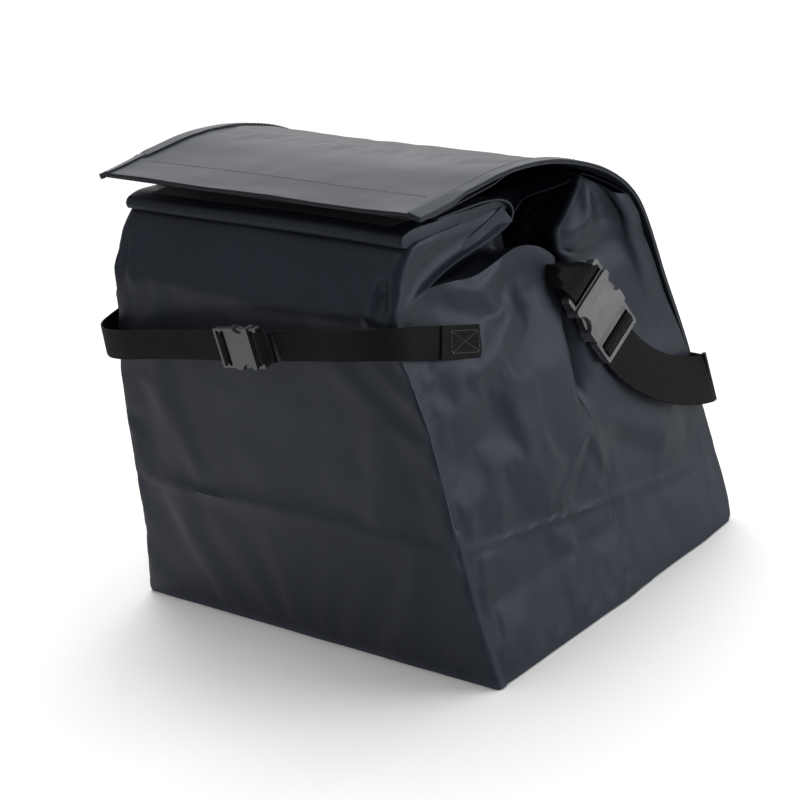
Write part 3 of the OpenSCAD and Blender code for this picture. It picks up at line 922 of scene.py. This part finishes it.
# Webbing round the socket's bar and through the plug's ladder: (x, z) in the buckle's frame.
BAR_LOOP = [(62, -1.1), (55, -1.2), (50.5, -3.6), (47, -5.2), (43.5, -5.4), (40.4, -4.6),
            (39.7, -2), (39.7, 2), (40.4, 4.6), (43.5, 5.4), (47, 5.2), (50.5, 3.6), (55, 1.2),
            (62, 1.1)]
LADDER = [(-30, -4.4), (-24, -4.5), (-20.6, -3.2), (-19.2, 0), (-18.4, 3.4), (-16.2, 4.6),
          (-13.4, 4.6), (-11.2, 3.4), (-10.4, 0), (-9.8, -4.2)]


def local_strip(place, y_dir, outline, width):
    """Grid of webbing that follows an outline in a buckle's x and z."""
    x, z = curve(outline, 60).T
    path = place(row_at(x, 0, z))
    return ribbon(path, np.tile(y_dir, (len(path), 1)), width)


def outward(grid, facing):
    """The grid with its columns ordered so that its normals point along facing."""
    if np.mean(np.sum(normals(grid) * facing, axis=-1)) < 0:
        return grid[:, ::-1]
    return grid


def along_grid(path, facing, width):
    """Grid of webbing along a path, its outer side towards facing."""
    tangent = unit(np.gradient(path, axis=0))
    across = unit(np.cross(facing, tangent))
    return outward(ribbon(path, across, width), facing[:, None, :])


def front_strap():
    """One strap round the front, from the ladder of one side buckle to the other's."""
    place, x_dir, y_dir, z_dir = buckle_frame("right_button_rear", "right_button_front", 1)
    start = place([[-24, 0, -4.5]])[0]
    radius = 7 * MM
    front = STRAP_FRONT - WEBBING / 2
    level = 127 * MM
    drop = 1.5 * MM
    corner = np.array([HALF_W - 5.5 * MM, front - radius, level + drop])
    t = np.linspace(0, 1, 60)[:, None]
    side = bezier(start, start - x_dir * 34 * MM, corner + np.array([-1, -44, 9]) * MM, corner, t)
    turn = np.radians(np.linspace(0, 90, 12)[1:, None])
    centre = corner - [radius, 0, 0]
    arc = centre + np.cos(turn) * [radius, 0, 0] + np.sin(turn) * [0, radius, 0]
    arc[:, 2] -= drop * smooth(np.arange(len(arc)), 0, len(arc) - 1)
    across_front = row_at(np.linspace(arc[-1, 0], 0, 80)[1:], front, level)
    half = np.concatenate([side, arc, across_front])
    facing = np.concatenate([np.tile(z_dir, (len(side), 1)),
                             np.cos(turn) * z_dir + np.sin(turn) * [0, 1, 0],
                             np.tile([0.0, 1.0, 0.0], (len(across_front), 1))])
    path = np.concatenate([half, (half * [-1, 1, 1])[::-1][1:]])
    facing = np.concatenate([facing, (facing * [-1, 1, 1])[::-1][1:]])
    count = 420
    facing = unit(resample(np.concatenate([path, facing], 1), count)[:, 3:])
    path = resample(path, count)
    grid = along_grid(path, facing, WEBBING_W)
    piece = sheet("front_strap_webbing", grid, WEBBING, STRAP)
    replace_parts(piece, "front_strap")

    threaded = outward(local_strip(place, y_dir, LADDER, WEBBING_W), z_dir)
    sheet("right_ladder_webbing", threaded, WEBBING, STRAP)
    sheet("left_ladder_webbing", mirrored(threaded), WEBBING, STRAP)


def anchor_webbing():
    """Short doubled webbing from inside the gusset's fold round the socket's bar."""
    place = buckle_frame("right_button_rear", "right_button_front", 1)[0]
    outline = [(92, -2.2), (76, -2.0), (62, -1.6), (54, -2.2)] + BAR_LOOP[2:-2]
    outline += [(54, 2.0), (62, 0.6), (76, 0.3), (92, 0.2)]
    line = curve(outline, 130)
    half_width = WEBBING_W / MM / 2
    x, y = np.meshgrid(line[:, 0], np.linspace(-half_width, half_width, 9), indexing="ij")
    # It turns in under the gusset's fold along a slanting line, and is sewn down there.
    turn = np.minimum(59 + 0.95 * y, 70 - 1.7 * np.maximum(y - 11, 0))
    past = np.maximum(x - turn, 0)
    deepest = 32
    sink = deepest * np.tanh(1.5 * (np.sqrt(past**2 + 4) - 2) / deepest)
    grid = place(row_at(x - 0.55 * sink, y, line[:, 1:2] - sink))
    for node, shape in (("anchor_webbing_right", grid), ("anchor_webbing_left", mirrored(grid))):
        piece = sheet(node + "_loop", shape, WEBBING, STRAP)
        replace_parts(piece, node)


def box_stitch(grid, first, last, name):
    """A box with a cross, sewn through the webbing between two rows of its grid."""
    n = normals(grid)
    lift = grid + n * (HOOP_WEBBING / 2 + 0.15 * MM)
    left, right = 1, grid.shape[1] - 2
    steps = np.linspace(0, 1, 30)[:, None]

    def run(a, b):
        return lift[a] + (lift[b] - lift[a]) * steps, np.tile(n[a], (len(steps), 1))

    corners = [(first, left), (first, right), (last, right), (last, left)]
    lines = [(0, 1), (1, 2), (2, 3), (3, 0), (0, 2), (1, 3)]
    runs = [run(corners[a], corners[b]) for a, b in lines]
    stitches(name, runs, THREAD, "bag", length=2.2 * MM, gap=1.1 * MM, radius=0.3 * MM)


def hoop_strap():
    """Strap at the rider's side, closed round the carrier's hoop by a small buckle."""
    place, x_dir, y_dir, z_dir = buckle_frame("hoop_button_upper", "hoop_button_lower", SMALL_SCALE)
    slope = x_dir[2] / x_dir[0]
    level = place([[0, 0, 0]])[0]
    run_y = level[1] + 3.2 * MM

    def height(x):
        return level[2] + (x - level[0]) * slope

    def sewn(name, start_x, points, node, loop):
        """points are (x, y, drop) in millimetres, where drop is below the buckle's slope."""
        knots = [[start_x, run_y, height(start_x)]]
        knots += [[x * MM, y * MM, height(x * MM) - drop * MM] for x, y, drop in points]
        path = curve(knots, 150)
        side = np.sign(points[-1][0])
        tangent = unit(np.gradient(path, axis=0))
        facing = unit(np.cross(tangent, [0, 0, 1.0])) * side
        # On the bag's side the strap leans with the gusset.
        facing[:, 2] = 0.27 * smooth(path[:, 1], -140 * MM, -95 * MM)
        facing = unit(facing)
        grid = along_grid(path, facing, HOOP_WEBBING_W)
        piece = sheet(name, grid, HOOP_WEBBING, SMALL_STRAP)
        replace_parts(piece, node)
        end = np.s_[-34:]
        turned = grid[end] + normals(grid)[end] * (HOOP_WEBBING + 0.15 * MM)
        sheet(name + "_end", turned[:-1], HOOP_WEBBING, SMALL_STRAP)
        box_stitch(turned, 8, 30, name + "_stitching")
        strip = outward(local_strip(place, y_dir, loop, HOOP_WEBBING_W), z_dir)
        sheet(name + "_threaded", strip, HOOP_WEBBING * 0.9, SMALL_STRAP)

    sewn("hoop_strap_right_webbing", level[0] + 44 * MM,
         [(80, -170.4, 0), (112, -170.5, 0), (134, -168, 0.6), (151, -161, 3), (159, -150, 7),
          (160.3, -138, 11), (161.5, -110, 22), (162.8, -75, 35)], "hoop_strap_right", BAR_LOOP)
    sewn("hoop_strap_left_webbing", level[0] - 21 * MM,
         [(-60, -170.4, 0), (-112, -170.6, 0), (-140, -170, 1), (-164, -164, 1), (-178, -152, 0),
          (-180, -138, -2), (-173, -108, -8), (-163.5, -75, -12)], "hoop_strap_left", LADDER)


# ---------- CAD parts that stay ----------

# Word in a node's name, its material and the width of its rounded edges in millimetres.
PART_LOOKS = [("hoop_buckle", SMALL_BUCKLE, 0.7), ("_socket", BUCKLE_PAINTED_SHEEN, 0.7), ("_plug", BUCKLE_PAINTED_SHEEN, 0.6),
              ("prong", PRONG, 0.6), ("_board", BOARD, 0.5), ("slat", BOARD, 0.3),
              ("_tape", TAPE, 0.2)]
SMALL_EDGE = 0.7               # edges of the small buckle compared with the side buckles'


def finish_cad_parts():
    """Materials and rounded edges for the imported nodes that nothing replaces."""
    for name, piece in frame["nodes"].items():
        for word, material, edge in PART_LOOKS:
            if word in name and not piece.hide_render:
                piece.data.materials.clear()
                piece.data.materials.append(material)
                bevel(piece, edge * (SMALL_EDGE if "hoop" in name else 1) * MM, 3)
                break


# ---------- stage ----------

WORLD_LIGHT = 0.35             # the white backdrop's strength as light on the bag


def area_light(name, place, aim, size, power):
    data = bpy.data.lights.new(name, "AREA")
    data.shape = "RECTANGLE"
    data.size, data.size_y = size
    data.energy = power
    light = bpy.data.objects.new(name, data)
    light.location = place
    light.rotation_mode = "QUATERNION"
    light.rotation_quaternion = (Vector(aim) - Vector(place)).to_track_quat("-Z", "Y")
    bpy.context.scene.collection.objects.link(light)


def seen_from_camera(tree, other):
    """1 for what the camera sees itself, and other for light that falls on the bag."""
    path = add(tree, "ShaderNodeLightPath")
    return ranged(tree, path, "Is Camera Ray", other, 1.0)


def floor_paper():
    """Pale paper that runs out into the white backdrop."""
    material, tree, shader = principled("floor_paper")
    tune(shader, Base_Color=colour(0.86, 0.86, 0.86), Roughness=0.9)
    place = add(tree, "ShaderNodeNewGeometry")
    reach = add(tree, "ShaderNodeVectorMath", operation="LENGTH")
    join(tree, place, "Position", reach, 0)
    fade = ranged(tree, reach, "Value", 0.0, 1.0, 0.6, 1.7)
    fade.interpolation_type = "SMOOTHSTEP"
    glow = add(tree, "ShaderNodeEmission")
    join(tree, seen_from_camera(tree, WORLD_LIGHT), "Result", glow, "Strength")
    both = add(tree, "ShaderNodeMixShader")
    join(tree, fade, "Result", both, 0)
    join(tree, shader, "BSDF", both, 1)
    join(tree, glow, "Emission", both, 2)
    join(tree, both, "Shader", tree.nodes["Material Output"], "Surface")
    return material


def stage():
    """Pale floor and white backdrop, with large soft lights above and around the bag."""
    floor = new_object("floor", [(-6, -6, 0), (6, -6, 0), (6, 6, 0), (-6, 6, 0)], [(0, 1, 2, 3)])
    floor.data.materials.append(floor_paper())
    world = bpy.data.worlds.new("studio")
    bpy.context.scene.world = world
    world.use_nodes = True
    tree = world.node_tree
    background = tune(tree.nodes["Background"], Color=colour(1, 1, 1))
    join(tree, seen_from_camera(tree, WORLD_LIGHT), "Result", background, "Strength")
    area_light("softbox_top", (-0.3, 0.5, 2.2), (0, 0, 0.2), (2.0, 2.0), 60)
    area_light("softbox_back", (-2.1, 2.4, 1.1), (0, 0, 0.3), (3.0, 1.5), 24)
    area_light("softbox_right", (2.4, 1.5, 0.7), (0.1, 0, 0.2), (1.6, 1.6), 52)
    area_light("softbox_rear", (-0.6, -2.4, 1.1), (0, 0, 0.2), (1.5, 1.5), 9)
    bpy.context.scene.view_settings.view_transform = "Standard"


def camera():
    """Looks down at the bag's rear right corner, rolled a little."""
    azimuth, elevation, roll = np.radians([45.44, 22.82, -10.14])
    aim = np.array([0, -0.0086, 0.1496])
    distance = 2.1693
    back = np.array([math.sin(azimuth) * math.cos(elevation),
                     -math.cos(azimuth) * math.cos(elevation), math.sin(elevation)])
    level = np.array([math.cos(azimuth), math.sin(azimuth), 0])
    upright = np.cross(back, level)
    right = level * math.cos(roll) + upright * math.sin(roll)
    up = upright * math.cos(roll) - level * math.sin(roll)
    data = bpy.data.cameras.new("camera")
    data.lens = 119
    piece = bpy.data.objects.new("camera", data)
    axes = np.stack([right, up, back, aim + back * distance], 1)
    piece.matrix_world = Matrix(axes.tolist() + [[0, 0, 0, 1]])
    bpy.context.scene.collection.objects.link(piece)
    bpy.context.scene.camera = piece


rear_panel()
gussets()
shoulder_edges()
front_panel()
base_panel()
rolled_collar()
lid()
front_strap()
anchor_webbing()
hoop_strap()
finish_cad_parts()
stage()
camera()
